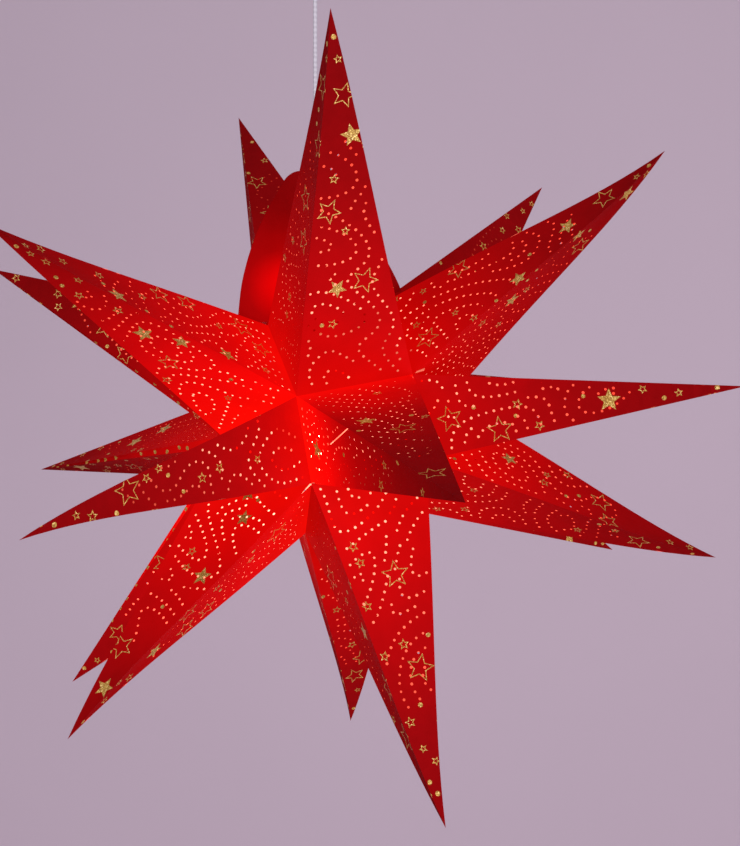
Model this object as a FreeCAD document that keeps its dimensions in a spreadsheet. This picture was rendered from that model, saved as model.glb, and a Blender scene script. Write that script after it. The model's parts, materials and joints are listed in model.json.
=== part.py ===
import FreeCAD, Part
import math
import os
import re

import Sketcher

# A folded paper star lantern.  Six gores stand round a lying axis like the
# segments of an orange, and each gore carries three long hollow points.  The
# star closes with two plain paper leaves on its top seam and hangs, a little
# crooked, from the cable of the lamp inside it.
#
# Frame: millimetres, +Z up, origin in the ceiling, midway between the two
# screw holes of the ceiling bracket.  The cable hangs down the Z axis.

doc = FreeCAD.newDocument("PaperStar")
sheet = doc.addObject("Spreadsheet::Sheet", "Dims")

DRIVING = {
    # the star as it hangs
    "drop": 362,            # ceiling down to the middle of the star
    "side_step": 18,        # cable to the middle of the star, along the gore axis
    "yaw": 12,              # the gore axis, turned about the cable
    "tilt": 10,             # the gore axis, its right-hand end lifted
    # the core that the points stand on
    "core": 86,             # middle of the star to each corner of the core
    "shoulder": 28,         # where the middle point meets the side points
    "pole": 85,             # edge of the small opening at each end of the axis
    "fold_gap": 0.15,       # half the gap of a fold, as an angle
    "seam_half": 2,         # half the gap of the top seam, as an angle
    # the gores' angles round their axis, counted from the top seam
    "gore_1": 36,
    "gore_2": 94,
    "gore_3": 147,
    "gore_4": 204,
    "gore_5": 264,
    "gore_6": 324,
    # the glued folds' angles, a little off the middles between the gores
    "fold_1": 68.5,
    "fold_2": 114.5,
    "fold_3": 175.5,
    "fold_4": 234,
    "fold_5": 294,
    # the points
    "reach_middle": 300,
    "reach_side": 290,
    "lean_left": 51,
    "lean_middle": 1,
    "lean_right": 51,
    "blunt": 0.012,         # width of a tip as a part of its foot
    "shell": 2.6,           # hollow moved down the point: leaves 0.4 mm of card
    "needle": 0.0006,       # what is left of the hollow at the tip
    "board": 0.4,           # thickness of the paper board
    # the glued folds inside
    "fin_recess": 0.3,
    "fin_depth": 8,
    # the closing leaves
    "leaf_gap": 4,
    "leaf_foot": 66,
    "leaf_neck": 36,
    "leaf_brow": 84,
    "leaf_round": 203,
    "leaf_spread": 136,
    "leaf_middle": 34,
    "leaf_tip": 13,
    "leaf_blank": 200,
    "dot_radius": 6,
    "dot_height": 116,
    "dot_spacing": 27,
    "dot_aside": 3,
    "dot_gap": 0.3,
    # the bar that carries the star
    "bar_length": 76,
    "bar_width": 14,
    "bar_height": 3,
    "bar_hole": 2.6,
    "bar_clear": 0.2,
    # cable and ceiling fitting
    "cable": 1.5,
    "cup_radius": 35,
    "cup_height": 30,
    "cup_wall": 1.6,
    "hole_spacing": 50,
    "screw_hole": 2.25,
    "bracket_length": 62,
    "bracket_width": 14,
    "bracket_plate": 1.5,
    "tube_radius": 4.9,
    "tube_bore": 3,
    "nut_corner": 8.1,
    "nut_height": 3,
    "terminal_length": 16,
    "terminal_width": 9,
    "terminal_height": 12,
    "wire_hole": 1.6,
    "grip_length": 16,
    "grip_radius": 7,
    # lampholder, measured down from its cord grip
    "neck_radius": 6,
    "neck_length": 10,
    "dome_radius": 13.5,
    "dome_length": 13,
    "barrel_radius": 14,
    "barrel_length": 26,
    "holder_wall": 1.8,
    "holder_top": 49.5,     # top of the neck above the middle of the star
    # bulb with a 14 mm screw cap
    "cap_radius": 6.7,
    "cap_length": 17,
    "thread_clear": 0.4,
    "thread_wall": 0.5,
    "glass_radius": 13,
    "glass_length": 50,
    "glass_wall": 0.8,
    "filament": 0.9,
    "filament_length": 28,
    "filament_ring": 4.5,
    "filament_plate": 0.8,
}

# Paper points never stand quite true: how far each one strays from its
# gore's angle, from its ring's lean and from its ring's reach.
STRAY = {
    (1, "left"): (-3, -4, 2),
    (1, "middle"): (-1, -1, 6),
    (1, "right"): (1, 0, 1),
    (2, "right"): (-1, 0, -5),
    (3, "left"): (1, 0, 1),
    (3, "middle"): (0, 1, -7),
    (3, "right"): (-2, 3, -8),
    (4, "middle"): (1, 1, -6),
    (4, "right"): (1, 1, -5),
    (5, "left"): (2, 0, -4),
    (6, "middle"): (0, 0, 10),
    (6, "left"): (0, -1, 4),
}

SIDES = ["left", "middle", "right"]

aliases = []


def store(name, value):
    """Put one number into the sheet under its name."""
    aliases.append(name)
    cell = "A%d" % len(aliases)
    sheet.set(cell, repr(value))
    sheet.setAlias(cell, name)


for key, value in DRIVING.items():
    store(key, value)
doc.recompute()


def dim(name):
    """A number of the sheet, for placing things."""
    return float(getattr(sheet, name))


def bound(text):
    """An expression in sheet names, with the sheet's own name put in."""
    def swap(match):
        word = match.group(0)
        return "Dims." + word if word in aliases else word
    return re.sub(r"[A-Za-z_]\w*", swap, text)


def number(text):
    """What an expression in sheet names comes to."""
    found = sheet.evalExpression(bound(text))
    return float(getattr(found, "Value", found))


def tie(thing, prop, text):
    thing.setExpression(prop, bound(text))


def turn(axis, degrees):
    return FreeCAD.Rotation(FreeCAD.Vector(*axis), degrees)


def shift(x, y, z):
    return FreeCAD.Placement(FreeCAD.Vector(x, y, z), FreeCAD.Rotation())


def spin(axis, degrees):
    return FreeCAD.Placement(FreeCAD.Vector(), turn(axis, degrees))


# ---------------------------------------------------------------- sketching

def new_body(label):
    body = doc.addObject("PartDesign::Body", label)
    body.Label = label
    return body


def plane_of(body, role):
    for feature in body.Origin.OriginFeatures:
        if feature.Role == role:
            return feature
    raise ValueError(role)


def outline(body, name, role, points, offset=None):
    """A closed polygon whose corners are expressions in sheet names."""
    sketch = body.newObject("Sketcher::SketchObject", name)
    sketch.AttachmentSupport = [(plane_of(body, role), "")]
    sketch.MapMode = "FlatFace"
    if offset:
        for letter, text in zip("xyz", offset):
            tie(sketch, "AttachmentOffset.Base." + letter, text)
    corners = [FreeCAD.Vector(number(x), number(y), 0) for x, y in points]
    count = len(corners)
    for i in range(count):
        line = Part.LineSegment(corners[i], corners[(i + 1) % count])
        sketch.addGeometry(line, False)
    for i in range(count):
        joint = Sketcher.Constraint("Coincident", i, 2, (i + 1) % count, 1)
        sketch.addConstraint(joint)
    for i, texts in enumerate(points):
        pin_corner(sketch, i, corners[i].x, texts[0], "DistanceX", -2)
        pin_corner(sketch, i, corners[i].y, texts[1], "DistanceY", -1)
    return sketch


def pin_corner(sketch, corner, value, text, kind, axis):
    """Hold one coordinate of a corner at its expression."""
    if abs(value) < 1e-9:
        sketch.addConstraint(Sketcher.Constraint("PointOnObject", corner, 1, axis))
        return
    if value > 0:
        rule = Sketcher.Constraint(kind, -1, 1, corner, 1, value)
    else:
        rule = Sketcher.Constraint(kind, corner, 1, -1, 1, -value)
        text = "-(%s)" % text
    index = sketch.addConstraint(rule)
    name = "%s_%d" % (kind[-1].lower(), corner)
    sketch.renameConstraint(index, name)
    tie(sketch, "Constraints." + name, text)


def lathe(label, points, placement, hollow=None):
    """A piece turned about its own Z axis from (radius, height) corners."""
    body = new_body(label)
    sketch = outline(body, label + "_profile", "XZ_Plane", points)
    solid = body.newObject("PartDesign::Revolution", label + "_turned")
    solid.Profile = sketch
    solid.ReferenceAxis = (sketch, ["V_Axis"])
    solid.Angle = 360
    if hollow:
        inner = outline(body, label + "_hollow", "XZ_Plane", hollow)
        cut = body.newObject("PartDesign::Groove", label + "_bored")
        cut.Profile = inner
        cut.ReferenceAxis = (inner, ["V_Axis"])
        cut.Angle = 360
    body.Placement = placement
    return body


# ---------------------------------------------------------------- the frame

def star_frame():
    """From the star's own frame (X gore axis, Z seam) to the ceiling's."""
    yaw = dim("yaw")
    along = math.radians(yaw)
    step = dim("side_step")
    middle = shift(step * math.cos(along), step * math.sin(along), -dim("drop"))
    return middle * spin((0, 0, 1), yaw) * spin((0, 1, 0), -dim("tilt"))


STAR = star_frame()
HOLDER = shift(0, 0, dim("holder_top") - dim("drop"))


def gore_angle(gore):
    return dim("gore_%d" % gore)


def boundary(gore):
    """Angle of the glued fold between this gore and the next."""
    return dim("fold_%d" % gore)


def gore_span(gore):
    """Angles at which a gore begins and ends, counted from the top seam."""
    first = dim("seam_half")
    last = 360 - dim("seam_half")
    if gore > 1:
        first = boundary(gore - 1) + dim("fold_gap")
    if gore < 6:
        last = boundary(gore) - dim("fold_gap")
    return first, last


# ---------------------------------------------------------------- the points

def foot_of(gore, side):
    """Where a point's four-sided foot lies: turn, lean, distance, corners."""
    first, last = gore_span(gore)
    half = math.radians(last - first) / 2
    core = dim("core")
    shoulder = math.radians(dim("shoulder"))
    pole = math.radians(dim("pole"))
    if side == "middle":
        wide = core * math.cos(shoulder) * math.sin(half)
        distance = core * math.cos(shoulder) * math.cos(half)
        length = core * math.sin(shoulder)
        return (first + last) / 2, 0.0, distance, (-length, wide, length, wide)
    rise = math.cos(half) * (math.cos(shoulder) - math.cos(pole))
    lean = math.atan2(rise, math.sin(pole) - math.sin(shoulder))

    def along(latitude):
        inward = math.cos(latitude) * math.cos(half) * math.sin(lean)
        return core * (math.sin(latitude) * math.cos(lean) - inward)

    out = math.cos(shoulder) * math.cos(half) * math.cos(lean)
    distance = core * (out + math.sin(shoulder) * math.sin(lean))
    near = core * math.cos(shoulder) * math.sin(half)
    far = core * math.cos(pole) * math.sin(half)
    sign = -1 if side == "left" else 1
    corners = (sign * along(shoulder), near, sign * along(pole), far)
    return (first + last) / 2, -sign * math.degrees(lean), distance, corners


def tip_of(gore, side):
    """Where a point ends, in the star's own frame."""
    turn_by, lean_by, reach_by = STRAY.get((gore, side), (0, 0, 0))
    ring = "middle" if side == "middle" else "side"
    reach = dim("reach_" + ring) + reach_by
    azimuth = math.radians(gore_angle(gore) + turn_by)
    lean = math.radians(dim("lean_" + side) + lean_by)
    if side == "right":
        lean = -lean
    flat = reach * math.cos(lean)
    side_way = -flat * math.sin(azimuth)
    return FreeCAD.Vector(-reach * math.sin(lean), side_way, flat * math.cos(azimuth))


def make_point(gore, side):
    """One hollow point, open at its foot: four flat panels that meet in folds."""
    label = "point_%d_%s" % (gore, side)
    azimuth, lean, distance, corners = foot_of(gore, side)
    foot = spin((1, 0, 0), azimuth) * spin((0, 1, 0), -lean) * shift(0, 0, distance)
    apex = foot.inverse().multVec(tip_of(gore, side))
    stem = "p%d%s_" % (gore, side[0])
    sizes = list(corners) + [apex.x, apex.y, apex.z]
    words = ["nearx", "neary", "farx", "fary", "apexx", "apexy", "apexz"]
    for word, size in zip(words, sizes):
        store(stem + word, round(size, 4))
    sheet.recompute()

    def ring(scale):
        x1, y1, x2, y2 = ["%s%s*%s" % (stem, word, scale) for word in words[:4]]
        return [(x1, y1), (x2, y2), (x2, "-" + y2), (x1, "-" + y1)]

    hollow = "(1 - shell/%sapexz)" % stem
    raised = ["%s%s*(1 - blunt)" % (stem, word) for word in words[4:]]
    foot_rings = (ring("1"), ring(hollow))
    tip_rings = (ring("blunt"), ring("needle"))
    panels = []
    for fold in range(4):
        body = new_body("%s_panel_%d" % (label, fold + 1))
        start = panel_edge(body, "_foot", foot_rings, fold)
        end = panel_edge(body, "_tip", tip_rings, fold, raised)
        loft = body.newObject("PartDesign::AdditiveLoft", body.Name + "_board")
        loft.Profile = start
        loft.Sections = [end]
        loft.Ruled = True
        body.Placement = STAR * foot
        panels.append(body)
    return gathered(label, panels)


def panel_edge(body, tail, rings, fold, offset=None):
    """Cross-section of one panel between two folds, mitred at both."""
    outer, inner = rings
    after = (fold + 1) % 4
    corners = [outer[fold], outer[after], inner[after], inner[fold]]
    return outline(body, body.Name + tail, "XY_Plane", corners, offset)


def make_fin(gore):
    """The two glued board edges between this gore and the next, turned in."""
    label = "glued_fold_%d" % gore
    body = new_body(label)
    outer = "(core - fin_recess)"
    inner = "(core - fin_recess - fin_depth)"
    bends = [("-", "pole"), ("-", "shoulder"), ("", "shoulder"), ("", "pole")]

    def corner(radius, bend):
        sign, place = bend
        return "%s%s*sin(%s)" % (sign, radius, place), "%s*cos(%s)" % (radius, place)

    points = [corner(outer, bend) for bend in bends]
    points += [corner(inner, bend) for bend in reversed(bends)]
    sketch = outline(body, label + "_edge", "XZ_Plane", points)
    pad = body.newObject("PartDesign::Pad", label + "_board")
    pad.Profile = sketch
    pad.SideType = "Symmetric"
    tie(pad, "Length", "2*board")
    body.Placement = STAR * spin((1, 0, 0), boundary(gore))
    return body


# ---------------------------------------------------------------- primitives

def cylinder(name, radius, height, placement):
    thing = doc.addObject("Part::Cylinder", name)
    tie(thing, "Radius", radius)
    tie(thing, "Height", height)
    thing.Placement = placement
    return thing


def block(name, length, width, height, placement):
    thing = doc.addObject("Part::Box", name)
    tie(thing, "Length", length)
    tie(thing, "Width", width)
    tie(thing, "Height", height)
    thing.Placement = placement
    return thing


def combined(kind, label, base, tool):
    thing = doc.addObject("Part::" + kind, label)
    thing.Base = base
    thing.Tool = tool
    thing.Label = label
    return thing


def gathered(label, things):
    group = doc.addObject("Part::Compound", label)
    group.Links = things
    group.Label = label
    return group


# ---------------------------------------------------------------- the seam

def make_leaf(label, low):
    """A plain closing leaf: a pointed arch with a rounded top on a neck."""
    lay = STAR * shift(0, low, 0) * spin((1, 0, 0), -90)

    def disc(name, x):
        place = lay * shift(x, -dim("leaf_middle"), 0)
        return cylinder(label + name, "leaf_round", "board", place)

    arch = combined("Common", label + "_arch", disc("_a", dim("leaf_spread")),
                    disc("_b", -dim("leaf_spread")))
    neck_wide = dim("leaf_neck")
    neck_place = STAR * shift(-neck_wide, low, dim("leaf_foot"))
    neck = block(label + "_neck", "2*leaf_neck", "board", "leaf_brow - leaf_foot",
                 neck_place)
    brow_place = STAR * shift(-dim("leaf_blank") / 2, low, dim("leaf_brow"))
    brow = block(label + "_brow", "leaf_blank", "board", "leaf_blank", brow_place)
    shape = combined("Fuse", label + "_window", brow, neck)
    blank = combined("Common", label + "_blank", arch, shape)
    doc.recompute()
    top = doc.addObject("Part::Fillet", label)
    top.Base = blank
    top.Label = label
    top.Edges = [(peak_edge(blank.Shape), dim("leaf_tip"), dim("leaf_tip"))]
    return top


def peak_edge(shape):
    """The short edge across the board where the two arch sides meet."""
    seam_way = STAR.Rotation.multVec(FreeCAD.Vector(0, 0, 1))
    heights = []
    for place, edge in enumerate(shape.Edges, start=1):
        if edge.Length < 2 * dim("board"):
            heights.append((edge.CenterOfMass.dot(seam_way), place))
    return max(heights)[1]


def make_dots(label, low):
    """Two touch-fastener dots on the inner side of a leaf."""
    dots = []
    for sign in (-1, 1):
        x = sign * dim("dot_spacing") + dim("dot_aside")
        place = STAR * shift(x, low, dim("dot_height")) * spin((1, 0, 0), -90)
        name = "%s_%s" % (label, "left" if sign < 0 else "right")
        dots.append(cylinder(name, "dot_radius", "(leaf_gap - dot_gap)/2", place))
    return gathered(label, dots)


def make_bar():
    """The bar under both leaves that carries the star on the lampholder."""
    left = -dim("bar_length") / 2
    top = dim("leaf_foot") - dim("bar_clear")
    place = STAR * shift(left, -dim("bar_width") / 2, top - dim("bar_height"))
    bar = block("bar_blank", "bar_length", "bar_width", "bar_height", place)
    hole = cylinder("bar_hole_tool", "bar_hole", "60", shift(0, 0, -dim("drop") + 40))
    return combined("Cut", "carrier_bar", bar, hole)


# ---------------------------------------------------------------- the lamp

def make_lampholder():
    """Neck, dome and barrel, with the screw shell and contact inside."""
    base = "-(neck_length + dome_length)"
    neck = lathe("holder_cord_grip", [
        ("0", "0"), ("neck_radius", "0"), ("neck_radius", "-neck_length"),
        ("0", "-neck_length")], HOLDER)
    dome = lathe("holder_cap", [
        ("0", "-neck_length"), ("neck_radius + 1", "-neck_length"),
        ("dome_radius - 1.5", "-(neck_length + 4)"), ("dome_radius", "-(neck_length + 7)"),
        ("dome_radius", base), ("0", base)], HOLDER, [
        ("0", "-(neck_length + 2.5)"), ("dome_radius - 4", "-(neck_length + 6)"),
        ("dome_radius - holder_wall", "-(neck_length + 8)"),
        ("dome_radius - holder_wall", base + " - 1"), ("0", base + " - 1")])
    foot = base + " - barrel_length"
    barrel = lathe("holder_barrel", [
        ("barrel_radius - holder_wall", base), ("barrel_radius", base),
        ("barrel_radius", foot), ("barrel_radius - holder_wall", foot)], HOLDER)
    thread_in = "(cap_radius + thread_clear)"
    shell_top = base + " - 5"
    insert = lathe("holder_insert", [
        ("0", base), ("barrel_radius - holder_wall", base),
        ("barrel_radius - holder_wall", shell_top + " + 1.5"),
        ("0", shell_top + " + 1.5")], HOLDER)
    shell = lathe("holder_screw_shell", [
        (thread_in, shell_top + " + 1.5"),
        (thread_in + " + thread_wall", shell_top + " + 1.5"),
        (thread_in + " + thread_wall", foot + " + 4"), (thread_in, foot + " + 4")], HOLDER)
    contact = lathe("holder_contact", [
        ("0", shell_top + " + 1.5"), ("2.5", shell_top + " + 1.5"),
        ("1.5", shell_top), ("0", shell_top)], HOLDER)
    return [neck, dome, barrel, insert, shell, contact]


def make_bulb():
    """Screw cap, insulated tip, clear tube and four upright filaments."""
    top = "-(neck_length + dome_length + 5 + thread_clear)"
    cap_top = top + " - 2.5"
    cap_foot = cap_top + " - cap_length"
    tip = lathe("bulb_tip", [
        ("0", top), ("2.2", top), ("5", cap_top), ("0", cap_top)], HOLDER)
    cap = lathe("bulb_screw_cap", [
        ("0", cap_top), ("5", cap_top), ("cap_radius", cap_top + " - 2"),
        ("cap_radius", cap_foot), ("cap_radius - thread_wall", cap_foot),
        ("cap_radius - thread_wall", cap_top + " - 2.3"),
        ("0", cap_top + " - thread_wall")], HOLDER)
    low = cap_foot + " - glass_length"
    throat = "(cap_radius - thread_wall)"
    glass = lathe("bulb_glass", [
        (throat + " - glass_wall", cap_foot + " + 6"), (throat, cap_foot + " + 6"),
        (throat, cap_foot), ("cap_radius + 1", cap_foot + " - 2"),
        ("glass_radius", cap_foot + " - 12"), ("glass_radius", low + " + 9"),
        ("glass_radius*0.75", low + " + 3"), ("glass_radius*0.3", low),
        ("0", low), ("0", low + " + glass_wall"),
        ("glass_radius*0.3 - 0.2", low + " + glass_wall"),
        ("glass_radius*0.75 - 0.7", low + " + 3.8"),
        ("glass_radius - glass_wall", low + " + 9.5"),
        ("glass_radius - glass_wall", cap_foot + " - 11.7"),
        (throat + " - glass_wall", cap_foot + " - 2")], HOLDER)
    blank = lathe("stem_blank", [
        ("0", cap_foot + " + 8"), ("4", cap_foot + " + 8"), ("4", cap_foot),
        ("1.2", cap_foot + " - 8"), ("1.2", cap_foot + " - 14"),
        ("0", cap_foot + " - 14")], HOLDER)
    filaments = make_filaments(cap_foot)
    stem = combined("Cut", "bulb_stem", blank, filaments)
    return [tip, cap, glass, stem, filaments]


def make_filaments(cap_foot):
    rods = []
    start = number(cap_foot) - 12 - dim("filament_length")
    for place in range(4):
        angle = math.radians(45 + 90 * place)
        x = dim("filament_ring") * math.cos(angle)
        y = dim("filament_ring") * math.sin(angle)
        rod_place = HOLDER * shift(x, y, start)
        name = "filament_rod_%d" % (place + 1)
        rods.append(cylinder(name, "filament", "filament_length", rod_place))
    disc = cylinder("filament_disc", "filament_ring + 1.5", "filament_plate",
                    HOLDER * shift(0, 0, start + dim("filament_length")))
    joined = doc.addObject("Part::MultiFuse", "bulb_filaments")
    joined.Shapes = rods + [disc]
    joined.Label = "bulb_filaments"
    return joined


# ---------------------------------------------------------------- the ceiling

def make_ceiling_fitting():
    """Cup, bracket with two screw holes, threaded tube, cord grip, terminals."""
    still = shift(0, 0, 0)
    cup = lathe("ceiling_cup", [
        ("cup_radius - cup_wall", "0"), ("cup_radius", "0"),
        ("cup_radius - 3", "-(cup_height - 6)"), ("cup_radius - 12", "-cup_height"),
        ("tube_radius + 0.2", "-cup_height"),
        ("tube_radius + 0.2", "-(cup_height - cup_wall)"),
        ("cup_radius - 13", "-(cup_height - cup_wall)"),
        ("cup_radius - 3 - cup_wall", "-(cup_height - 7)")], still)
    plate = block("bracket_blank", "bracket_length", "bracket_width", "bracket_plate",
                  shift(-dim("bracket_length") / 2, -dim("bracket_width") / 2,
                        -dim("bracket_plate")))
    holes = []
    for sign in (-1, 1):
        place = shift(sign * dim("hole_spacing") / 2, 0, -5)
        holes.append(cylinder("bracket_hole_%s" % ("left" if sign < 0 else "right"),
                              "screw_hole", "10", place))
    holes.append(cylinder("bracket_hole_middle", "tube_radius", "10", shift(0, 0, -5)))
    tools = gathered("bracket_holes", holes)
    bracket = combined("Cut", "ceiling_bracket", plate, tools)
    tube = lathe("threaded_tube", [
        ("tube_bore", "-0.1"), ("tube_radius", "-0.1"),
        ("tube_radius", "-(cup_height + 6)"), ("tube_bore", "-(cup_height + 6)")], still)
    grip_foot = "-(cup_height + grip_length)"
    grip = lathe("ceiling_cord_grip", [
        ("tube_radius", "-cup_height"), ("grip_radius", "-cup_height"),
        ("grip_radius", "-(cup_height + 7)"), ("grip_radius - 2", grip_foot),
        ("0", grip_foot), ("0", "-(cup_height + 6)"), ("tube_radius", "-(cup_height + 6)")],
        still)
    nut = hex_nut()
    terminals = block("terminal_blank", "terminal_length", "terminal_width",
                      "terminal_height", shift(-dim("terminal_length") / 2, 8, -15))
    slots = []
    for sign in (-1, 1):
        place = shift(sign * 4, 5, -9) * spin((1, 0, 0), -90)
        slots.append(cylinder("wire_hole_%s" % ("left" if sign < 0 else "right"),
                              "wire_hole", "20", place))
    terminal = combined("Cut", "terminal_block", terminals, gathered("wire_holes", slots))
    return [cup, bracket, tube, grip, nut, terminal]


def hex_nut():
    """The nut that holds the threaded tube up on the bracket."""
    body = new_body("tube_nut")
    points = []
    for place in range(6):
        angle = 60 * place
        points.append(("nut_corner*cos(%d)" % angle, "nut_corner*sin(%d)" % angle))
    sketch = outline(body, "tube_nut_outline", "XY_Plane", points)
    pad = body.newObject("PartDesign::Pad", "tube_nut_block")
    pad.Profile = sketch
    tie(pad, "Length", "nut_height")
    bore = outline(body, "tube_nut_bore", "XZ_Plane", [
        ("0", "-1"), ("tube_radius", "-1"), ("tube_radius", "4"), ("0", "4")])
    cut = body.newObject("PartDesign::Groove", "tube_nut_hole")
    cut.Profile = bore
    cut.ReferenceAxis = (bore, ["V_Axis"])
    cut.Angle = 360
    body.Placement = shift(0, 0, -dim("bracket_plate") - dim("nut_height"))
    return body


def make_cable():
    """The taut cable from the ceiling's cord grip to the lampholder's."""
    top = -(dim("cup_height") + dim("grip_length"))
    foot = dim("holder_top") - dim("drop")
    length = "drop - holder_top - cup_height - grip_length"
    cable = cylinder("cable", "cable", length, shift(0, 0, foot))
    cable.Label = "cable"
    print("cable: one straight run of %.1f mm" % (top - foot))
    return cable


# ---------------------------------------------------------------- everything

pieces = [make_point(gore, side) for gore in range(1, 7) for side in SIDES]
pieces += [make_fin(gore) for gore in range(1, 6)]
half_gap = dim("leaf_gap") / 2
pieces.append(make_leaf("closing_leaf_front", -half_gap - dim("board")))
pieces.append(make_leaf("closing_leaf_back", half_gap))
dot_thick = (dim("leaf_gap") - dim("dot_gap")) / 2
pieces.append(make_dots("closing_dots_front", -half_gap))
pieces.append(make_dots("closing_dots_back", half_gap - dot_thick))
pieces.append(make_bar())
pieces += make_lampholder()
pieces += make_bulb()
pieces.append(make_cable())
pieces += make_ceiling_fitting()

doc.recompute()


def check_and_write(things):
    """Stop on any failed feature or bad shape, then write one file a piece."""
    for thing in doc.Objects:
        if "Invalid" in thing.State or "Error" in thing.State:
            raise RuntimeError("failed feature: " + thing.Label)
    for thing in things:
        if thing.Shape.isNull() or not thing.Shape.isValid():
            raise RuntimeError("bad shape: " + thing.Label)
        if thing.Shape.Volume <= 0:
            raise RuntimeError("empty shape: " + thing.Label)
    os.makedirs("parts", exist_ok=True)
    for thing in things:
        thing.Shape.exportStep("parts/%s.step" % thing.Label)
        print("%-22s %10.1f mm3" % (thing.Label, thing.Shape.Volume))


check_and_write(pieces)
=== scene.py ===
import json
import math
import random

import bmesh
import bpy
from mathutils import Matrix, Vector
from mathutils.geometry import delaunay_2d_cdt

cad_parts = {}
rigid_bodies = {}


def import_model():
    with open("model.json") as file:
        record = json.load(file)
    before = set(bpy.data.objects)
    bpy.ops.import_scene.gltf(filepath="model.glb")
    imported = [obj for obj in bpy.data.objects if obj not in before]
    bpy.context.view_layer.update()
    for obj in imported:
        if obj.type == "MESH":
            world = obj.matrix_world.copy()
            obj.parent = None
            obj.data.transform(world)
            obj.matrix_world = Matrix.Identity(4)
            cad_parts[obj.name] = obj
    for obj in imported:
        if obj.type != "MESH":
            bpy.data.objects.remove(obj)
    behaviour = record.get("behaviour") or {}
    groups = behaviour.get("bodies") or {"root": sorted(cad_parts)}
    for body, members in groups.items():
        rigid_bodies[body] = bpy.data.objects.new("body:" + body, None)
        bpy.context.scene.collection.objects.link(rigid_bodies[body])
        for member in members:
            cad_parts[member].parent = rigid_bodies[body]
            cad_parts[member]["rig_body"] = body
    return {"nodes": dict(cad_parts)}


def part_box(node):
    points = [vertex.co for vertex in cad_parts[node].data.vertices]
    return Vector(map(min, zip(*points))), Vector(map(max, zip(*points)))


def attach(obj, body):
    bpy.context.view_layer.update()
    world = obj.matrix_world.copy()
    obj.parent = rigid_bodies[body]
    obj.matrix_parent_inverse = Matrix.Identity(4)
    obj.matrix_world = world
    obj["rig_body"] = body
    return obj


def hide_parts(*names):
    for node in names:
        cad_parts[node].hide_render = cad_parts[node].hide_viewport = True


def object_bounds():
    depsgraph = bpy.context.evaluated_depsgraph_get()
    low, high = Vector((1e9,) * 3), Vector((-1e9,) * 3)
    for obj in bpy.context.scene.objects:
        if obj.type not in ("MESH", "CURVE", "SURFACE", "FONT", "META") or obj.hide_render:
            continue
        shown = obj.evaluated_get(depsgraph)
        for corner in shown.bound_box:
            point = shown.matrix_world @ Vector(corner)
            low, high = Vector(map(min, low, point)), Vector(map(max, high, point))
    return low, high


# A lit star lantern of folded red card: every point is four panels of card
# with rows of punched holes and a glitter print, round a lamp on a thin cable.

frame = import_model()
cad_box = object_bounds()
MM = 0.001

SIDES = ["left", "middle", "right"]
POINTS = ["point_%d_%s" % (gore, side) for gore in range(1, 7) for side in SIDES]

# --- the card ---
CARD = 0.35 * MM
RIDGE_STEPS = 20            # parts that each ridge is divided into
FOOT_STEPS = 6              # parts that each foot edge is divided into
BULGE = 1.6 * MM            # how far a panel springs in between its ridges
TIP_REACH = 1.009           # the folded tip ends in a finer needle than a solid can
TIP_THIN = 0.2              # the board's share of the room that is left near a tip
TIP_ZONE = 1.2 * MM         # a solid point's corners this near its end are its tip
SHARPEST = 0.12             # limits the inner corner of a very sharp fold
SAME_PLACE = 0.005 * MM     # corners of two panels this near each other are one

# --- the punched holes ---
HOLE = 0.9 * MM             # radius
HOLE_SIDES = 8
PITCH = 5.4 * MM            # from hole to hole along a row
ROW = 9.2 * MM              # from row to row
CLOSEST = 6.3 * MM          # to a hole of another row
PUNCHED = 0.68              # part of a point's length that has holes

# --- the print ---
BIG_STAR = 7.2 * MM
OPEN_STAR = 9.2 * MM
SMALL_STAR = 3.6 * MM
PRINT_LINE = 0.6 * MM
PRINTS = 22                 # shapes tried on a panel; those that fit are kept
FEW_PRINTS = {"point_2_middle": 7}

# --- the light that shows through ---
EVEN = 50 * MM              # usual distance of the lamp from a panel's plane
EVEN_SHARE = 0.35           # part of a panel's glow that this distance leaves alone
ROOT_END = 2.2              # the foot's extra glow ends at one over this, up the panel
ROOT_FADE = 1.5

# How much of the lamp's light a point shows: the one that aims forward is
# seen along its long faces, and the back ones are in the others' shade.
GLOW = {
    "point_1_left": 0.8,
    "point_1_middle": 0.7,
    "point_1_right": 0.8,
    "point_2_left": 0.28,
    "point_2_middle": 0.34,
    "point_2_right": 0.62,
    "point_3_left": 0.88,
    "point_3_middle": 0.54,
    "point_3_right": 0.75,
    "point_4_middle": 0.6,
    "point_4_right": 0.5,
    "point_5_left": 0.5,
    "point_6_left": 0.4,
    "point_6_middle": 0.26,
    "point_6_right": 0.22,
}

# Panels are counted round a point: 0 lies on the gore's first fold, 1 on the
# far side, 2 on the gore's last fold and 3 on the near side.
SIDE_GLOW = {
    ("point_2_middle", 3): 2.5,
    ("point_1_left", 2): 2.0,
    ("point_1_middle", 3): 1.05,
    ("point_1_middle", 2): 0.92,
}

# How much brighter a point is at its foot than the distance alone makes it.
ROOT_GLOW = {"point_2_middle": 1.2, "point_2_left": 1.2}

# The lit inner side shows less through holes that are seen at a slant.
HOLE_GLOW = {"point_2_middle": 0.2}

# Worn corners where points meet: point, panel and end, and how much is gone.
SLITS = {
    ("point_2_middle", 0, 1): 2.6 * MM,
    ("point_2_middle", 1, 0): 1.0 * MM,
    ("point_2_right", 0, 0): 1.2 * MM,
    ("point_2_middle", 3, 0): 1.4 * MM,
    ("point_3_left", 0, 0): 1.2 * MM,
    ("point_3_left", 3, 1): 2.6 * MM,
    ("point_3_middle", 3, 1): 1.0 * MM,
}

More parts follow.
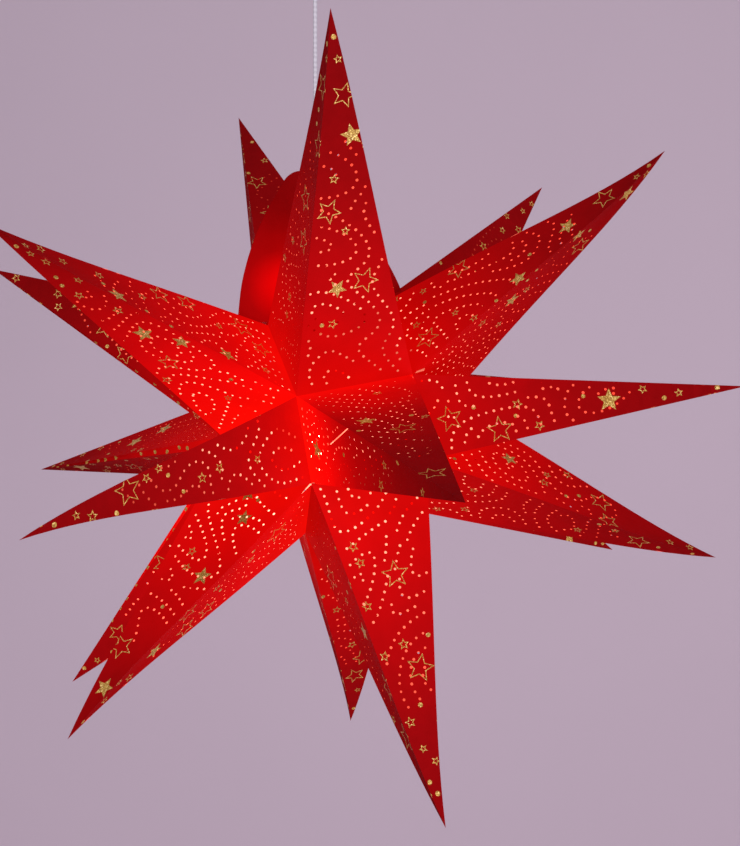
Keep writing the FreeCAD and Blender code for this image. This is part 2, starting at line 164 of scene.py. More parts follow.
# Short tears, as corners in millimetres from the middle of a panel's foot: one
# across the forward point's left panel, one above the foot of the right point.
TEARS = {
    ("point_2_middle", 3): ((0.9, 46.5), (14.5, 86), (14.2, 87.4), (0.3, 47.5)),
    ("point_1_right", 2): ((30.5, 5.8), (39.4, 1.0), (39.8, 3.4), (33.2, 8.2)),
}

# Where the middle of a point bows before its tip bends back, in millimetres
# sideways and up.
BOW = {
    "point_1_left": (1, -2),
    "point_1_middle": (1, 0),
    "point_1_right": (1, -3),
    "point_2_left": (0, 3),
    "point_3_left": (-1, 2),
    "point_3_middle": (-2, 1),
    "point_3_right": (-1, -2),
    "point_4_middle": (2, 0),
}
BOW_SHAPE = 9.48            # makes the bow's curve, s^3 (1 - s), 1 at its highest

# --- the closing leaves ---
LEAF_GRID = 7 * MM
LEAF_WARP = 0.9 * MM
LEAF_RIPPLES = (31, 24)     # radians a metre, across and up
LEAF_NECK = 18 * MM         # height of the narrow foot
LEAF_DROOP = 5.5 * MM       # how far the card hangs down at the top of its foot

# --- where the feet of the points meet on the core, as in the folded board ---
CORE = 0.086
SHOULDER = 28
POLE = 85
SEAM = 2
HINGE = 3                   # the fold that the star opens about
HINGE_GAP = 0.15
FOLDS = [SEAM, 68.5, 114.5, 175.5, 234, 294, 360 - SEAM]
YAW = math.radians(12)
TILT = math.radians(10)
SIDE_STEP = 0.018
DROP = 0.362
STAR_MIDDLE = Vector((SIDE_STEP * math.cos(YAW), SIDE_STEP * math.sin(YAW), -DROP))
STAR = Matrix.Translation(STAR_MIDDLE) @ Matrix.Rotation(YAW, 4, "Z")
STAR = STAR @ Matrix.Rotation(-TILT, 4, "Y")


def new_mesh(name, build):
    """An object whose mesh is made by build(bm)."""
    mesh = bpy.data.meshes.new(name)
    bm = bmesh.new()
    build(bm)
    bm.to_mesh(mesh)
    bm.free()
    piece = bpy.data.objects.new(name, mesh)
    bpy.context.scene.collection.objects.link(piece)
    return piece


def middle_of(node):
    low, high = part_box(node)
    return (low + high) / 2


LAMP = middle_of("bulb_glass")


# ------------------------------------------------------------- materials

def new_material(name):
    """A material with its Principled shader and a maker of further nodes."""
    material = bpy.data.materials.new(name)
    material.use_nodes = True
    tree = material.node_tree
    shader = tree.nodes["Principled BSDF"]

    def node(kind, **settings):
        made = tree.nodes.new("ShaderNode" + kind)
        for key, value in settings.items():
            if key in made.inputs:
                made.inputs[key].default_value = value
            else:
                setattr(made, key, value)
        return made

    def link(start, end):
        tree.links.new(start, end)

    return material, shader, node, link


def set_ramp(ramp, stops):
    """Fill a colour ramp from (place, colour) pairs."""
    elements = ramp.color_ramp.elements
    while len(elements) < len(stops):
        elements.new(0.5)
    for element, (place, colour) in zip(elements, stops):
        element.position = place
        element.color = (*colour, 1)


def source_distance(node, link, source, reach):
    """Distance from a light over reach, as a number from 0 to 1."""
    place = node("TexCoord")
    away = node("VectorMath", operation="DISTANCE")
    away.inputs[1].default_value = source
    link(place.outputs["Object"], away.inputs[0])
    part = node("MapRange")
    part.inputs["From Min"].default_value = 0.0
    part.inputs["From Max"].default_value = reach
    link(away.outputs["Value"], part.inputs["Value"])
    return place, part.outputs["Result"]


def fibre_bump(node, link, place, strength):
    """Fine paper fibre with a soft larger waviness."""
    fibre = node("TexNoise", Scale=900.0, Detail=4.0, Roughness=0.7)
    wave = node("TexNoise", Scale=38.0, Detail=2.0)
    both = node("Math", operation="MULTIPLY_ADD")
    both.inputs[1].default_value = 0.25
    bump = node("Bump", Strength=strength, Distance=0.0006)
    link(place.outputs["Object"], fibre.inputs["Vector"])
    link(place.outputs["Object"], wave.inputs["Vector"])
    link(fibre.outputs["Fac"], both.inputs[0])
    link(wave.outputs["Fac"], both.inputs[2])
    link(both.outputs["Value"], bump.inputs["Height"])
    return bump.outputs["Normal"]


def clouded(node, link, place, source, low, high, scale):
    """A colour made a little uneven by soft noise between two factors."""
    noise = node("TexNoise", Scale=scale, Detail=3.0)
    part = node("MapRange")
    part.inputs["To Min"].default_value = low
    part.inputs["To Max"].default_value = high
    mix = node("VectorMath", operation="SCALE")
    link(place.outputs["Object"], noise.inputs["Vector"])
    link(noise.outputs["Fac"], part.inputs["Value"])
    link(source, mix.inputs[0])
    link(part.outputs["Result"], mix.inputs["Scale"])
    return mix.outputs["Vector"]


# Light that comes through the card at growing distance from the lamp.
THROUGH_CARD = [
    (0.16, (1.1, 0.004, 0.001)),
    (0.32, (0.80, 0.001, 0.0)),
    (0.48, (0.46, 0.0, 0.0)),
    (0.66, (0.17, 0.0, 0.0)),
    (0.86, (0.03, 0.0, 0.0)),
]
# The same on a closing leaf, from the gap beside the top point's foot.
THROUGH_LEAF = [
    (0.0, (0.80, 0.0, 0.0)),
    (0.12, (0.60, 0.0, 0.0)),
    (0.26, (0.25, 0.0, 0.0)),
    (0.55, (0.10, 0.0, 0.0)),
    (1.0, (0.03, 0.0, 0.0)),
]
LEAF_GLOW = Vector((-0.026, 0.0, -0.266))
# Light on the inner side of the card, seen through holes and slits.
INSIDE = [
    (0.18, (1.3, 0.95, 0.62)),
    (0.30, (1.2, 0.62, 0.38)),
    (0.45, (1.1, 0.26, 0.15)),
    (0.65, (0.75, 0.09, 0.05)),
    (0.9, (0.25, 0.01, 0.006)),
]


def card_material(name, stops, source, reach, lit_faces):
    """Red card, outer side: matt, faintly fibrous, lit from behind."""
    material, shader, node, link = new_material(name)
    place, away = source_distance(node, link, source, reach)
    colour = node("RGB")
    colour.outputs[0].default_value = (0.18, 0.001, 0.002, 1)
    link(clouded(node, link, place, colour.outputs[0], 0.85, 1.15, 140.0),
         shader.inputs["Base Color"])
    ramp = node("ValToRGB")
    set_ramp(ramp, stops)
    link(away, ramp.inputs["Fac"])
    light = clouded(node, link, place, ramp.outputs["Color"], 0.78, 1.22, 32.0)
    if lit_faces:
        lit = node("Attribute")
        lit.attribute_name = "lit"
        scaled = node("VectorMath", operation="SCALE")
        link(light, scaled.inputs[0])
        link(lit.outputs["Fac"], scaled.inputs["Scale"])
        light = scaled.outputs["Vector"]
    link(light, shader.inputs["Emission Color"])
    shader.inputs["Emission Strength"].default_value = 1.0
    shader.inputs["Roughness"].default_value = 0.72
    shader.inputs["Specular IOR Level"].default_value = 0.02
    link(fibre_bump(node, link, place, 0.35), shader.inputs["Normal"])
    return material


def inner_material():
    """The card's inner side, bright near the lamp."""
    material, shader, node, link = new_material("card_inside")
    place, away = source_distance(node, link, LAMP, 0.33)
    colour = node("RGB")
    colour.outputs[0].default_value = (0.5, 0.05, 0.04, 1)
    link(clouded(node, link, place, colour.outputs[0], 0.9, 1.1, 140.0),
         shader.inputs["Base Color"])
    ramp = node("ValToRGB")
    set_ramp(ramp, INSIDE)
    link(away, ramp.inputs["Fac"])
    lit = node("Attribute")
    lit.attribute_name = "lit"
    scaled = node("VectorMath", operation="SCALE")
    link(ramp.outputs["Color"], scaled.inputs[0])
    link(lit.outputs["Fac"], scaled.inputs["Scale"])
    link(scaled.outputs["Vector"], shader.inputs["Emission Color"])
    shader.inputs["Emission Strength"].default_value = 1.4
    shader.inputs["Roughness"].default_value = 0.8
    return material


def glitter_material():
    """Gold glitter print: gold flakes whose colours carry painted glints and painted shade,
    with a faint painted glow.
    """
    material, shader, node, link = new_material("gold_glitter")
    place = node("TexCoord")
    flakes = node("TexVoronoi", Scale=1500.0)
    ramp = node("ValToRGB")
    # Flake colours: the gold is the glitter's own, the darkest flakes are painted shade and
    # the brightest are painted glints.
    set_ramp(ramp, [
        (0.0, (0.12, 0.04, 0.004)), (0.40, (0.30, 0.16, 0.024)),
        (0.74, (0.52, 0.34, 0.07)), (0.93, (0.92, 0.74, 0.32))])
    link(place.outputs["Object"], flakes.inputs["Vector"])
    link(flakes.outputs["Color"], ramp.inputs["Fac"])
    link(ramp.outputs["Color"], shader.inputs["Base Color"])
    tilt = node("Bump", Strength=0.5, Distance=0.0004)
    link(flakes.outputs["Distance"], tilt.inputs["Height"])
    link(tilt.outputs["Normal"], shader.inputs["Normal"])
    shader.inputs["Metallic"].default_value = 0.35
    shader.inputs["Roughness"].default_value = 0.42
    # Painted glow: the glitter gives off a faint warm light of its own, standing in for
    # light it catches.
    shader.inputs["Emission Color"].default_value = (0.24, 0.10, 0.01, 1)
    shader.inputs["Emission Strength"].default_value = 0.35
    return material


def plastic_material(name, colour, roughness):
    """Moulded plastic with a fine grain."""
    material, shader, node, link = new_material(name)
    place = node("TexCoord")
    flat = node("RGB")
    flat.outputs[0].default_value = (*colour, 1)
    link(clouded(node, link, place, flat.outputs[0], 0.96, 1.03, 60.0),
         shader.inputs["Base Color"])
    grain = node("TexNoise", Scale=1400.0, Detail=2.0)
    bump = node("Bump", Strength=0.12, Distance=0.0003)
    link(place.outputs["Object"], grain.inputs["Vector"])
    link(grain.outputs["Fac"], bump.inputs["Height"])
    link(bump.outputs["Normal"], shader.inputs["Normal"])
    shader.inputs["Roughness"].default_value = roughness
    return material


def metal_material(name, colour, roughness):
    """Drawn metal with faint marks round it."""
    material, shader, node, link = new_material(name)
    place = node("TexCoord")
    flat = node("RGB")
    flat.outputs[0].default_value = (*colour, 1)
    link(clouded(node, link, place, flat.outputs[0], 0.9, 1.05, 240.0),
         shader.inputs["Base Color"])
    shader.inputs["Metallic"].default_value = 1.0
    shader.inputs["Roughness"].default_value = roughness
    return material


def glass_material():
    """Clear thin glass, warm from the filaments."""
    material, shader, node, link = new_material("clear_glass")
    place = node("TexCoord")
    flow = node("TexNoise", Scale=70.0, Detail=1.0)
    bump = node("Bump", Strength=0.05, Distance=0.0004)
    link(place.outputs["Object"], flow.inputs["Vector"])
    link(flow.outputs["Fac"], bump.inputs["Height"])
    link(bump.outputs["Normal"], shader.inputs["Normal"])
    shader.inputs["Base Color"].default_value = (1.0, 0.98, 0.95, 1)
    shader.inputs["Transmission Weight"].default_value = 1.0
    shader.inputs["Roughness"].default_value = 0.02
    shader.inputs["IOR"].default_value = 1.45
    return material


def filament_material():
    """Phosphor-coated rods, glowing warm white."""
    material, shader, node, link = new_material("filament_glow")
    place = node("TexCoord")
    grain = node("TexNoise", Scale=600.0, Detail=2.0)
    ramp = node("ValToRGB")
    set_ramp(ramp, [(0.3, (1.0, 0.70, 0.38)), (0.7, (1.0, 0.85, 0.60))])
    link(place.outputs["Object"], grain.inputs["Vector"])
    link(grain.outputs["Fac"], ramp.inputs["Fac"])
    link(ramp.outputs["Color"], shader.inputs["Emission Color"])
    link(ramp.outputs["Color"], shader.inputs["Base Color"])
    shader.inputs["Emission Strength"].default_value = 12.0
    return material


# ------------------------------------------------------------- the print

def star_outline(centre, radius, tilt, waist=0.45):
    """Ten corners of a five-pointed star."""
    corners = []
    for place in range(10):
        reach = radius if place % 2 == 0 else radius * waist
        angle = tilt + math.pi * place / 5
        corners.append(centre + reach * Vector((math.cos(angle), math.sin(angle))))
    return corners


def disc_outline(centre, radius, sides, tilt=0.0):
    corners = []
    for place in range(sides):
        angle = tilt + math.tau * place / sides
        corners.append(centre + radius * Vector((math.cos(angle), math.sin(angle))))
    return corners


class Waves:
    """A smooth uneven field: the rows of holes follow its level lines."""

    def __init__(self, dice):
        self.parts = []
        for length in (46, 62, 84, 120):
            turn = dice.uniform(0, math.tau)
            push = Vector((math.cos(turn), math.sin(turn))) * math.tau / (length * MM)
            self.parts.append((push, dice.uniform(0, math.tau), length * MM / math.tau))

    def height(self, spot):
        return sum(size * math.sin(push.dot(spot) + start)
                   for push, start, size in self.parts)

    def slope(self, spot):
        total = Vector((0, 0))
        for push, start, size in self.parts:
            total += push * (size * math.cos(push.dot(spot) + start))
        return total


def follow(field, spot, way, allowed, others):
    """Holes along one row, from a spot on it, until it ends or meets others."""
    level = field.height(spot)
    row = []
    for _ in range(40):
        for _ in range(3):
            slope = field.slope(spot)
            if slope.length < 0.2:
                return row
            along = Vector((-slope.y, slope.x)).normalized() * way
            spot = spot + along * PITCH / 3
            slope = field.slope(spot)
            if slope.length < 0.2:
                return row
            spot = spot - slope * ((field.height(spot) - level) / slope.length_squared)
        if not allowed(spot):
            return row
        if any((spot - other).length < CLOSEST for other in others):
            return row
        if any((spot - other).length < PITCH * 0.85 for other in row):
            return row
        row.append(spot.copy())
    return row


def punched_rows(field, half_width, skew, height, dice):
    """Centres of the punched holes of one panel, in evenly spaced rows."""
    taken = []

    def allowed(spot):
        if not 4.0 * MM < spot.y < height * PUNCHED:
            return False
        off = abs(spot.x - skew * spot.y / height)
        return half_width * (1 - spot.y / height) - off > 3.0 * MM

    def start_row(start):
        if not allowed(start):
            return
        if any((start - other).length < ROW * 0.93 for other in taken):
            return
        ahead = follow(field, start, 1, allowed, taken)
        before = [start.copy()] + ahead
        back = follow(field, start, -1, allowed, taken + ahead[1:])
        row = back[::-1] + before
        if len(row) > 2:
            taken.extend(row)
            waiting.extend(row)

    waiting = []
    starts = [Vector((dice.uniform(-0.5, 0.5) * half_width, height * up))
              for up in (0.12, 0.3, 0.45, 0.2, 0.55, 0.08, 0.38)]
    for start in starts:
        start_row(start)
        while waiting:
            spot = waiting.pop(0)
            slope = field.slope(spot)
            if slope.length < 0.2:
                continue
            for way in (1, -1):
                start_row(spot + slope.normalized() * way * ROW)
    return taken


def printed_shapes(half_width, skew, height, dice, tries):
    """Solid stars, open stars, small stars and dots, as outlines to print."""
    shapes = []
    placed = []
    kinds = ["solid", "open", "small", "open", "dot", "small"]
    turn = dice.randrange(len(kinds))
    for place in range(tries):
        kind = kinds[(place + turn) % len(kinds)]
        up = height * (0.06 + 0.88 * dice.random() ** 0.8)
        wide = half_width * (1 - up / height)
        size = {"solid": BIG_STAR, "open": OPEN_STAR, "small": SMALL_STAR,
                "dot": 1.6 * MM}[kind]
        size = size * dice.uniform(0.85, 1.1)
        if size > wide * 1.15:
            size = SMALL_STAR * 0.8
            kind = "small" if wide > 4 * MM else "dot"
        aside = dice.uniform(-1, 1) * max(wide - size * 0.5, 0)
        spot = Vector((aside + skew * up / height, up))
        if any((spot - other).length < size + reach + 2 * MM for other, reach in placed):
            continue
        placed.append((spot, size))
        tilt = dice.uniform(0, math.tau)
        if kind == "dot":
            shapes.append((disc_outline(spot, min(size, 1.6 * MM), 8), None))
        elif kind == "solid":
            shapes.append((star_outline(spot, size, tilt), None))
        else:
            inner = size - PRINT_LINE * 2.2
            shapes.append((star_outline(spot, size, tilt),
                           star_outline(spot, inner, tilt)))
    return shapes


# ------------------------------------------------------------- one panel

def panel_outline(half_width, skew, height, gaps):
    """The panel's edge: the foot, less its worn corners, then up and down."""
    left = Vector((-half_width, 0))
    right = Vector((half_width, 0))
    tip = Vector((skew, height))
    corners = []
    for step in range(FOOT_STEPS + 1):
        corners.append(left.lerp(right, step / FOOT_STEPS))
    corners[0] = left.lerp(right, gaps[0] / (2 * half_width))
    corners[-1] = right.lerp(left, gaps[1] / (2 * half_width))
    for step in range(1, RIDGE_STEPS + 1):
        corners.append(right.lerp(tip, step / RIDGE_STEPS))
    for step in range(1, RIDGE_STEPS):
        corners.append(tip.lerp(left, step / RIDGE_STEPS))
    return corners


def cut_panel(half_width, skew, height, seed, gaps, tear, prints):
    """Triangles of one panel: where the card is, and where the print is."""
    dice = random.Random(seed)
    edge = panel_outline(half_width, skew, height, gaps)
    field = Waves(dice)
    holes = punched_rows(field, half_width, skew, height, dice)
    shapes = printed_shapes(half_width, skew, height, dice, prints)

    spots = list(edge)
    faces = [list(range(len(edge)))]
    kinds = ["card"]

    def add(outline, kind):
        first = len(spots)
        spots.extend(outline)
        faces.append(list(range(first, first + len(outline))))
        kinds.append(kind)

    for outer, inner in shapes:
        add(outer, "print")
        if inner:
            add(inner, "bare")
    for spot in holes:
        lean = dice.uniform(0, 1)
        add(disc_outline(spot, HOLE * dice.uniform(0.85, 1.1), HOLE_SIDES, lean), "hole")
    if tear:
        add([Vector(spot) * MM for spot in tear], "hole")
    for row in range(1, 16):
        up = height * row / 16
        wide = half_width * (1 - row / 16)
        for place in range(-2, 3):
            centre = skew * row / 16
            spots.append(Vector((centre + wide * place / 3, up)))

    found = delaunay_2d_cdt(spots, [], faces, 1, 1e-7)
    corners, triangles, origins = found[0], found[2], found[5]
    kept = []
    for triangle, origin in zip(triangles, origins):
        inside = [kinds[index] for index in origin]
        if "card" not in inside or "hole" in inside:
            continue
        printed = inside.count("print") > inside.count("bare")
        kept.append((triangle, 1 if printed else 0))
    return corners, kept


# ------------------------------------------------------------- the points

def corners_of_point(node):
    """Foot corners, in order, and tip of a CAD point."""
    spots = [vertex.co.copy() for vertex in frame["nodes"][node].data.vertices]
    reach = max((spot - STAR_MIDDLE).length for spot in spots)
    tips = [spot for spot in spots if (spot - STAR_MIDDLE).length > reach - TIP_ZONE]
    tip = sum(tips, Vector()) / len(tips)
    gore = int(node.split("_")[1])
    side = node.split("_")[2]
    first, last = FOLDS[gore - 1], FOLDS[gore]
    if gore == HINGE:
        last -= HINGE_GAP
    if gore == HINGE + 1:
        first += HINGE_GAP
    near, far = -SHOULDER, SHOULDER
    if side == "left":
        near, far = -SHOULDER, -POLE
    if side == "right":
        near, far = SHOULDER, POLE
    foot = [core_corner(first, near), core_corner(first, far),
            core_corner(last, far), core_corner(last, near)]
    centre = sum(foot, Vector()) / 4
    return foot, centre + (tip - centre) * TIP_REACH


def core_corner(angle, latitude):
    """A corner of the core, by its angle from the seam and its latitude."""
    angle, latitude = math.radians(angle), math.radians(latitude)
    flat = CORE * math.cos(latitude)
    spot = Vector((CORE * math.sin(latitude), -flat * math.sin(angle),
                   flat * math.cos(angle)))
    return STAR @ spot


class Board:
    """A folded board in the making: its outer corners, and which way is in."""

    def __init__(self):
        self.places = []
        self.inward = []
        self.thick = []
        self.index = {}
        self.faces = []

    def corner(self, place, inward, room=1.0):
        """The number of the corner at a place, shared along the folds.

        room is the panel's half width there: near the tip the board gets thinner.
        """
        key = tuple(round(value / SAME_PLACE) for value in place)
        if key not in self.index:
            self.index[key] = len(self.places)
            self.places.append(place)
            self.inward.append([])
            self.thick.append(min(CARD, TIP_THIN * room))
        found = self.index[key]
        if inward not in self.inward[found]:
            self.inward[found].append(inward)
        return found

    def mitre(self, found):
        """From an outer corner to the inner one, right for all panels there."""
        sides = self.inward[found]
        total = sum(sides, Vector())
        if len(sides) == 1:
            return total * self.thick[found]
        square = total.dot(total) / len(sides)
        return total * self.thick[found] / max(square, SHARPEST)

    def shape(self, bm):
        """Outer faces, inner faces and the cut edges between them."""
        lit = bm.faces.layers.float.new("lit")
        outer = [bm.verts.new(place) for place in self.places]
        inner = [bm.verts.new(place + self.mitre(found))
                 for found, place in enumerate(self.places)]
        used = {}
        for corners, kind, share, dim in self.faces:
            face = bm.faces.new([outer[found] for found in corners])
            face.material_index = kind
            face[lit] = share
            face = bm.faces.new([inner[found] for found in reversed(corners)])
            face.material_index = 2
            face[lit] = dim
            for start, end in zip(corners, corners[1:] + corners[:1]):
                used[(start, end)] = (kind, share)
        for (start, end), (kind, share) in used.items():
            if (end, start) in used:
                continue
            rim = (outer[end], outer[start], inner[start], inner[end])
            face = bm.faces.new(rim)
            face.material_index = kind
            face[lit] = share
        loose = [vertex for vertex in bm.verts if not vertex.link_faces]
        bmesh.ops.delete(bm, geom=loose, context="VERTS")


def make_point(node, materials):
    """Four punched and printed panels, folded round one point."""
    foot, tip = corners_of_point(node)
    centre = sum(foot, Vector()) / 4
    axis = tip - centre
    length = axis.length
    axis.normalize()
    aside, upward = BOW.get(node, (0, 0))
    bow = Vector((aside, 0, upward)) * MM
    glow = GLOW.get(node, 1.0)
    board = Board()

    def settle(spot, inward, across, rise):
        """Spring the panel in a little and bow the point along its length."""
        along = min(1, max(0, (spot - centre).dot(axis) / length))
        spring = BULGE * (1 - across ** 2) * 3 * rise * (1 - rise)
        bend = BOW_SHAPE * along ** 3 * (1 - along)
        return spot + inward * spring + bow * bend

    for side in range(4):
        first, second = foot[side], foot[(side + 1) % 4]
        base = (second - first).length
        right = (second - first) / base
        rise = tip - first
        skew = rise.dot(right) - base / 2
        up = rise - right * rise.dot(right)
        height = up.length
        up.normalize()
        inward = right.cross(up)
        turned = inward.dot(centre - (first + second) / 2) < 0
        if turned:
            inward = -inward
        half = base / 2
        share = glow * SIDE_GLOW.get((node, side), 1.0)
        nearness = inward.dot(LAMP - first) / EVEN
        share = share * (EVEN_SHARE + (1 - EVEN_SHARE) * nearness)
        gaps = [SLITS.get((node, side, end), 0) for end in (0, 1)]
        seed = POINTS.index(node) * 4 + side
        tear = TEARS.get((node, side))
        prints = FEW_PRINTS.get(node, PRINTS)
        corners, kept = cut_panel(half, skew, height, seed, gaps, tear, prints)
        made = []
        for spot in corners:
            wide = half * max(1e-6, 1 - spot.y / height)
            across = min(1, abs((spot.x - skew * spot.y / height) / wide))
            place = first + right * (spot.x + half) + up * spot.y
            part = min(1, max(0, spot.y / height))
            room = half * (1 - part)
            made.append(board.corner(settle(place, inward, across, part), inward, room))
        for triangle, kind in kept:
            numbers = [made[index] for index in triangle]
            if len(set(numbers)) < 3:
                continue
            if not turned:
                numbers.reverse()
            far = sum(corners[index].y for index in triangle) / (3 * height)
            near = max(0, 1 - ROOT_END * far) ** ROOT_FADE
            root = 1 + ROOT_GLOW.get(node, 0) * near
            dim = glow * root * HOLE_GLOW.get(node, 1.0)
            board.faces.append((numbers, kind, share * root, dim))

    piece = new_mesh("card_" + node, board.shape)
    for material in materials:
        piece.data.materials.append(material)
    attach(piece, frame["nodes"][node]["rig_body"])
    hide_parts(node)
    return piece


# ------------------------------------------------------------- the seam

def leaf_outline(source):
    """The edge of a CAD leaf's larger side, in order, and that side's normal."""
    bm = bmesh.new()
    bm.from_mesh(source.data)
    normal = max(bm.faces, key=lambda face: face.calc_area()).normal.copy()
    side = {face for face in bm.faces if face.normal.dot(normal) > 0.99}
    after = {}
    for face in side:
        for loop in face.loops:
            if not any(other in side for other in loop.edge.link_faces if other != face):
                after[loop.vert.index] = loop.link_loop_next.vert.index
    start = min(after)
    order = [start]
    while after[order[-1]] != start:
        order.append(after[order[-1]])
    bm.verts.ensure_lookup_table()
    outline = [bm.verts[index].co.copy() for index in order]
    bm.free()
    return outline, normal


def make_leaf(node, materials):
    """A plain closing leaf: card that is softly warped, drooping over its foot."""
    source = frame["nodes"][node]
    outline, normal = leaf_outline(source)
    across = Vector((0, 0, 1)).cross(normal).normalized()
    upward = normal.cross(across)
    origin = sum(outline, Vector()) / len(outline)
    flat = [Vector(((spot - origin).dot(across), (spot - origin).dot(upward)))
            for spot in outline]
    low = min(spot.y for spot in flat)
    high = max(spot.y for spot in flat)
    wide = max(abs(spot.x) for spot in flat)
    grid = []
    for row in range(int((high - low) / LEAF_GRID) + 1):
        for column in range(-int(wide / LEAF_GRID), int(wide / LEAF_GRID) + 1):
            grid.append(Vector((column * LEAF_GRID, low + (row + 0.5) * LEAF_GRID)))
    edge = list(range(len(flat)))
    found = delaunay_2d_cdt(flat + grid, [], [edge], 1, 1e-7)
    board = Board()
    made = []
    for spot in found[0]:
        ripple_x = math.sin(LEAF_RIPPLES[0] * spot.x + 1.1)
        ripple_y = math.sin(LEAF_RIPPLES[1] * spot.y + 0.4)
        warp = LEAF_WARP * ripple_x * ripple_y
        part = min(1, (spot.y - low) / (2 * LEAF_NECK))
        droop = LEAF_DROOP * math.sin(math.pi * part)
        place = origin + across * spot.x + upward * (spot.y - droop) + normal * warp
        made.append(board.corner(place, -normal))
    for triangle in found[2]:
        board.faces.append(([made[index] for index in triangle], 0, 1.0, 1.0))
    piece = new_mesh("plain_" + node, board.shape)
    for material in materials:
        piece.data.materials.append(material)
    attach(piece, source["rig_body"])
    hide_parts(node)
    return piece


# ------------------------------------------------------------- the cable

def make_cable():
    """The taut cable, straight from the ceiling's grip to the lampholder's."""
    low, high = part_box("cable")
    centre = (low + high) / 2
    heights = [high.z, centre.z + 0.03, centre.z - 0.03, low.z]
    curve = bpy.data.curves.new("hanging_cable", "CURVE")
    curve.dimensions = "3D"
    spline = curve.splines.new("NURBS")
    spline.points.add(len(heights) - 1)
    for point, height in zip(spline.points, heights):
        point.co = (centre.x, centre.y, height, 1)
    spline.order_u = 3
    spline.use_endpoint_u = True
    radius = (high.x - low.x) / 2
    curve.bevel_depth = radius
    curve.bevel_resolution = 6
    curve.use_fill_caps = True
    piece = bpy.data.objects.new("hanging_cable", curve)
    bpy.context.scene.collection.objects.link(piece)
    piece.data.materials.append(cable_material())
    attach(piece, "ceiling")
    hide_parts("cable")
    return piece


def cable_material():
    """Pale translucent sheath over a twisted pair."""
    material, shader, node, link = new_material("pale_cable")
    place = node("TexCoord")
    twist = node("TexWave", Scale=90.0, Distortion=1.5)
    twist.bands_direction = "Z"
    ramp = node("ValToRGB")
    set_ramp(ramp, [(0.0, (0.42, 0.40, 0.46)), (1.0, (0.52, 0.50, 0.56))])
    link(place.outputs["Object"], twist.inputs["Vector"])
    link(twist.outputs["Fac"], ramp.inputs["Fac"])
    link(ramp.outputs["Color"], shader.inputs["Base Color"])
    shader.inputs["Roughness"].default_value = 0.35
    return material


# ------------------------------------------------------------- CAD finishes

def dress(nodes, material):
    """Give CAD nodes that stay in view their finish."""
    for name in nodes:
        slots = frame["nodes"][name].data.materials
        slots.clear()
        slots.append(material)


def dress_fittings():
    white = plastic_material("white_plastic", (0.80, 0.79, 0.76), 0.45)
    gloss = plastic_material("gloss_white", (0.84, 0.83, 0.80), 0.22)
    steel = metal_material("steel", (0.55, 0.55, 0.56), 0.32)
    brass = metal_material("brass", (0.78, 0.58, 0.26), 0.28)
    nickel = metal_material("nickel", (0.70, 0.69, 0.66), 0.22)
    board = plastic_material("grey_board", (0.42, 0.33, 0.24), 0.85)
    dress(["holder_cord_grip", "holder_cap", "holder_barrel", "holder_insert",
           "ceiling_cord_grip", "terminal_block"], white)
    dress(["ceiling_cup"], gloss)
    dress(["ceiling_bracket", "threaded_tube", "tube_nut"], steel)
    dress(["holder_screw_shell", "holder_contact", "bulb_tip"], brass)
    dress(["bulb_screw_cap"], nickel)
    dress(["carrier_bar"], board)
    dress(["bulb_glass", "bulb_stem"], glass_material())
    dress(["bulb_filaments"], filament_material())


# ------------------------------------------------------------- the setting

CAMERA_AWAY = 0.895
CAMERA_AIM = Vector((0.0143, 0.0041, -0.356))
LOOK_DOWN = math.radians(3.46)

WALL = 1.9                  # how far behind the cable
SWEEP = 0.5                 # radius between floor and wall
SWEEP_STEPS = 24


def make_stage():
    """A plain pale floor and wall in one piece."""
    def build(bm):
        floor = cad_box[0][2] - 2.2
        start = WALL - SWEEP
        profile = [(-4.0, floor), (start, floor)]
        for place in range(1, SWEEP_STEPS + 1):
            angle = math.pi / 2 * place / SWEEP_STEPS
            profile.append((start + SWEEP * math.sin(angle),
                            floor + SWEEP * (1 - math.cos(angle))))
        profile.append((WALL, 3.0))
        rows = []
        for x in (-5.0, 5.0):
            rows.append([bm.verts.new((x, y, z)) for y, z in profile])
        for i in range(len(profile) - 1):
            face = bm.faces.new((rows[0][i], rows[1][i], rows[1][i + 1], rows[0][i + 1]))
            face.smooth = True

    wall = new_mesh("stage", build)
    material, shader, node, link = new_material("pale_wall")
    place = node("TexCoord")
    flat = node("RGB")
    flat.outputs[0].default_value = (0.57, 0.465, 0.55, 1)
    link(clouded(node, link, place, flat.outputs[0], 0.97, 1.03, 1.6),
         shader.inputs["Base Color"])
    shader.inputs["Roughness"].default_value = 0.9
    wall.data.materials.append(material)


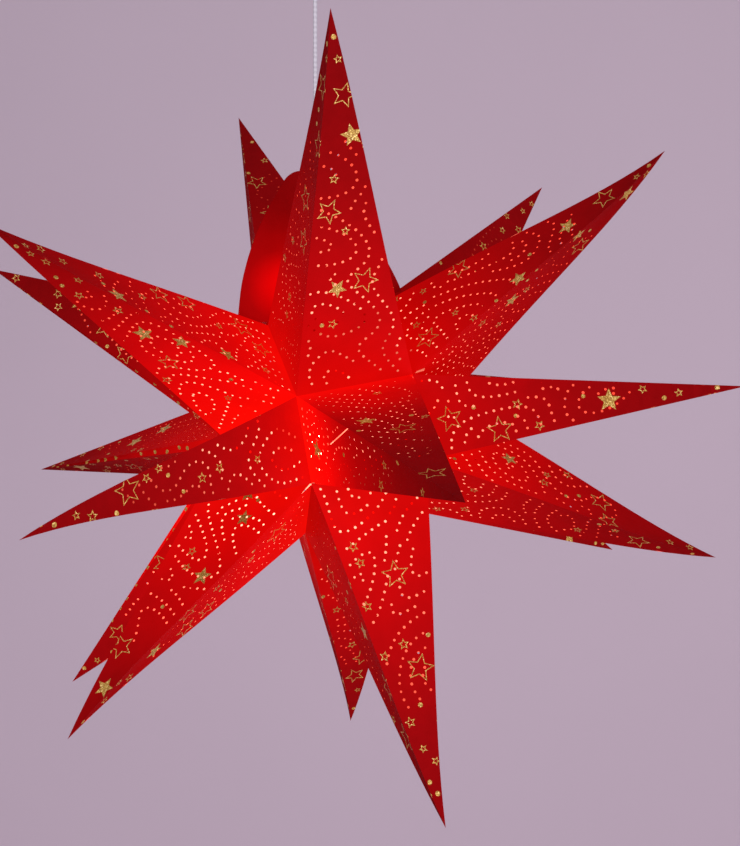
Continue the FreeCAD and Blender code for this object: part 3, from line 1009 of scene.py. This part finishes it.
def add_lamp(name, kind, place, aim, power, size=0.0, colour=(1, 1, 1)):
    light = bpy.data.lights.new(name, kind)
    light.energy = power
    light.color = colour
    if kind == "AREA":
        light.shape = "DISK"
        light.size = size
    lamp = bpy.data.objects.new(name, light)
    lamp.location = place
    lamp.rotation_euler = (Vector(aim) - Vector(place)).to_track_quat("-Z", "Y").to_euler()
    bpy.context.scene.collection.objects.link(lamp)


def make_lights():
    add_lamp("key", "AREA", (-1.1, -1.9, 0.9), STAR_MIDDLE, 25, 1.6, (1.0, 0.98, 1.0))
    add_lamp("fill", "AREA", (1.3, -1.8, -1.2), (0.3, 0.5, -0.7), 50, 1.8, (1.0, 0.98, 0.99))
    world = bpy.data.worlds.new("studio")
    world.use_nodes = True
    back = world.node_tree.nodes["Background"]
    back.inputs["Color"].default_value = (0.80, 0.76, 0.82, 1)
    back.inputs["Strength"].default_value = 0.55
    bpy.context.scene.world = world


def make_camera():
    camera = bpy.data.cameras.new("camera")
    camera.sensor_fit = "VERTICAL"
    camera.sensor_height = 24
    camera.lens = 35
    camera.shift_x = 0.041
    camera.shift_y = -0.0144
    eye = bpy.data.objects.new("camera", camera)
    back = Vector((0, -math.cos(LOOK_DOWN), math.sin(LOOK_DOWN)))
    eye.location = CAMERA_AIM + back * CAMERA_AWAY
    eye.rotation_euler = (-back).to_track_quat("-Z", "Y").to_euler()
    bpy.context.scene.collection.objects.link(eye)
    bpy.context.scene.camera = eye


# ------------------------------------------------------------- everything

inside = inner_material()
gold = glitter_material()
card = card_material("red_card", THROUGH_CARD, LAMP, 0.33, lit_faces=True)
for node in POINTS:
    make_point(node, [card, gold, inside, inside])
leaf_card = card_material("leaf_card", THROUGH_LEAF, LEAF_GLOW, 0.1, lit_faces=False)
for node in ("closing_leaf_front", "closing_leaf_back"):
    make_leaf(node, [leaf_card, leaf_card, leaf_card])
fold_card = card_material("fold_card", THROUGH_CARD, LAMP, 0.33, lit_faces=False)
dress(["glued_fold_%d" % gore for gore in range(1, 6)], fold_card)
dress(["closing_dots_front", "closing_dots_back"],
      plastic_material("touch_dots", (0.45, 0.02, 0.02), 0.9))
dress_fittings()
make_cable()
make_stage()
make_lights()
make_camera()
bpy.context.scene.view_settings.view_transform = "Standard"
